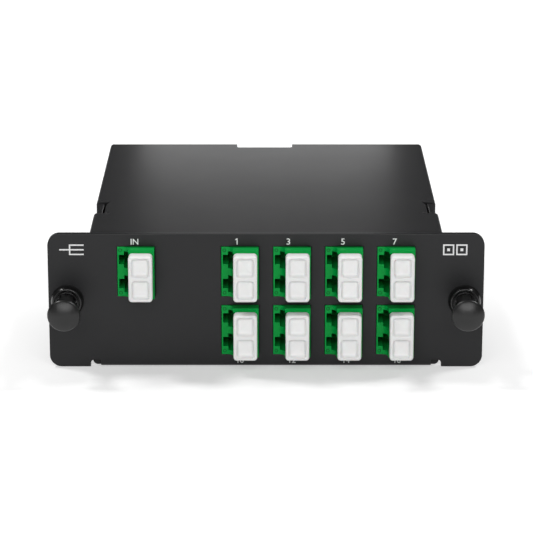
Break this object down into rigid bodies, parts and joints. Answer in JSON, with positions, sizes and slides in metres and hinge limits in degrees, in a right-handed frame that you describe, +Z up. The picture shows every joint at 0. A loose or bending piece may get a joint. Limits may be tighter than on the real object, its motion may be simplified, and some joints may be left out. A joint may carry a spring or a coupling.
{
  "type": "fibre optic splitter cassette",
  "caption": "Black steel rack cassette that splits one fibre into many, with green duplex adapters under white dust caps and a push-pull latch at each end of its panel.",
  "frame": {"origin": "centre of the box's flat underside, halfway between the panel's front face and the rear wall", "axes": "+X to the right seen from the front, +Y from the panel to the rear, +Z up"},
  "size_m": [0.1092, 0.113, 0.0348],
  "materials": {
    "tray_paint": "matte powder coat",
    "cover_paint": "matte powder coat",
    "screw_steel": "black zinc",
    "latch_nylon": "gloss",
    "adapter_green": "satin",
    "cap_white": "satin",
    "connector_green": "satin",
    "ceramic": "polished",
    "boot_rubber": "matte",
    "module_steel": "brushed",
    "fanout_plastic": "matte",
    "clip_plastic": "matte",
    "tail_jacket": "matte"
  },
  "bodies": {
    "chassis": {"tray": "tray_paint", "cover": "cover_paint", "cover_screws": "screw_steel", "latch_grommet_left": "latch_nylon", "latch_grommet_right": "latch_nylon", "alignment_sleeves": "ceramic", "connector_ferrules": "ceramic", "connector_boots": "boot_rubber", "splitter_module": "module_steel", "fanout_block": "fanout_plastic", "module_clips": "clip_plastic", "output_tails": "tail_jacket", "input_tail": "tail_jacket", "adapter_in": "adapter_green", "adapter_1_2": "adapter_green", "adapter_3_4": "adapter_green", "adapter_5_6": "adapter_green", "adapter_7_8": "adapter_green", "adapter_9_10": "adapter_green", "adapter_11_12": "adapter_green", "adapter_13_14": "adapter_green", "adapter_15_16": "adapter_green", "connector_in": "connector_green", "connector_1": "connector_green", "connector_2": "connector_green", "connector_3": "connector_green", "connector_4": "connector_green", "connector_5": "connector_green", "connector_6": "connector_green", "connector_7": "connector_green", "connector_8": "connector_green", "connector_9": "connector_green", "connector_10": "connector_green", "connector_11": "connector_green", "connector_12": "connector_green", "connector_13": "connector_green", "connector_14": "connector_green", "connector_15": "connector_green", "connector_16": "connector_green"},
    "cap_in": {"dust_cap_in": "cap_white"},
    "cap_1_2": {"dust_cap_1_2": "cap_white"},
    "cap_3_4": {"dust_cap_3_4": "cap_white"},
    "cap_5_6": {"dust_cap_5_6": "cap_white"},
    "cap_7_8": {"dust_cap_7_8": "cap_white"},
    "cap_9_10": {"dust_cap_9_10": "cap_white"},
    "cap_11_12": {"dust_cap_11_12": "cap_white"},
    "cap_13_14": {"dust_cap_13_14": "cap_white"},
    "cap_15_16": {"dust_cap_15_16": "cap_white"},
    "plunger_left": {"latch_plunger_left": "latch_nylon"},
    "plunger_right": {"latch_plunger_right": "latch_nylon"}
  },
  "joints": [
    {"name": "cap_in_pull", "type": "slide", "parent": "chassis", "child": "cap_in", "axis": [0, -1, 0], "range_m": [0, 0.012]},
    {"name": "cap_1_2_pull", "type": "slide", "parent": "chassis", "child": "cap_1_2", "axis": [0, -1, 0], "range_m": [0, 0.012]},
    {"name": "cap_3_4_pull", "type": "slide", "parent": "chassis", "child": "cap_3_4", "axis": [0, -1, 0], "range_m": [0, 0.012]},
    {"name": "cap_5_6_pull", "type": "slide", "parent": "chassis", "child": "cap_5_6", "axis": [0, -1, 0], "range_m": [0, 0.012]},
    {"name": "cap_7_8_pull", "type": "slide", "parent": "chassis", "child": "cap_7_8", "axis": [0, -1, 0], "range_m": [0, 0.012]},
    {"name": "cap_9_10_pull", "type": "slide", "parent": "chassis", "child": "cap_9_10", "axis": [0, -1, 0], "range_m": [0, 0.012]},
    {"name": "cap_11_12_pull", "type": "slide", "parent": "chassis", "child": "cap_11_12", "axis": [0, -1, 0], "range_m": [0, 0.012]},
    {"name": "cap_13_14_pull", "type": "slide", "parent": "chassis", "child": "cap_13_14", "axis": [0, -1, 0], "range_m": [0, 0.012]},
    {"name": "cap_15_16_pull", "type": "slide", "parent": "chassis", "child": "cap_15_16", "axis": [0, -1, 0], "range_m": [0, 0.012]},
    {"name": "plunger_left_push", "type": "slide", "parent": "chassis", "child": "plunger_left", "axis": [0, 1, 0], "range_m": [0, 0.008]},
    {"name": "plunger_right_push", "type": "slide", "parent": "chassis", "child": "plunger_right", "axis": [0, 1, 0], "range_m": [0, 0.008]}
  ]
}
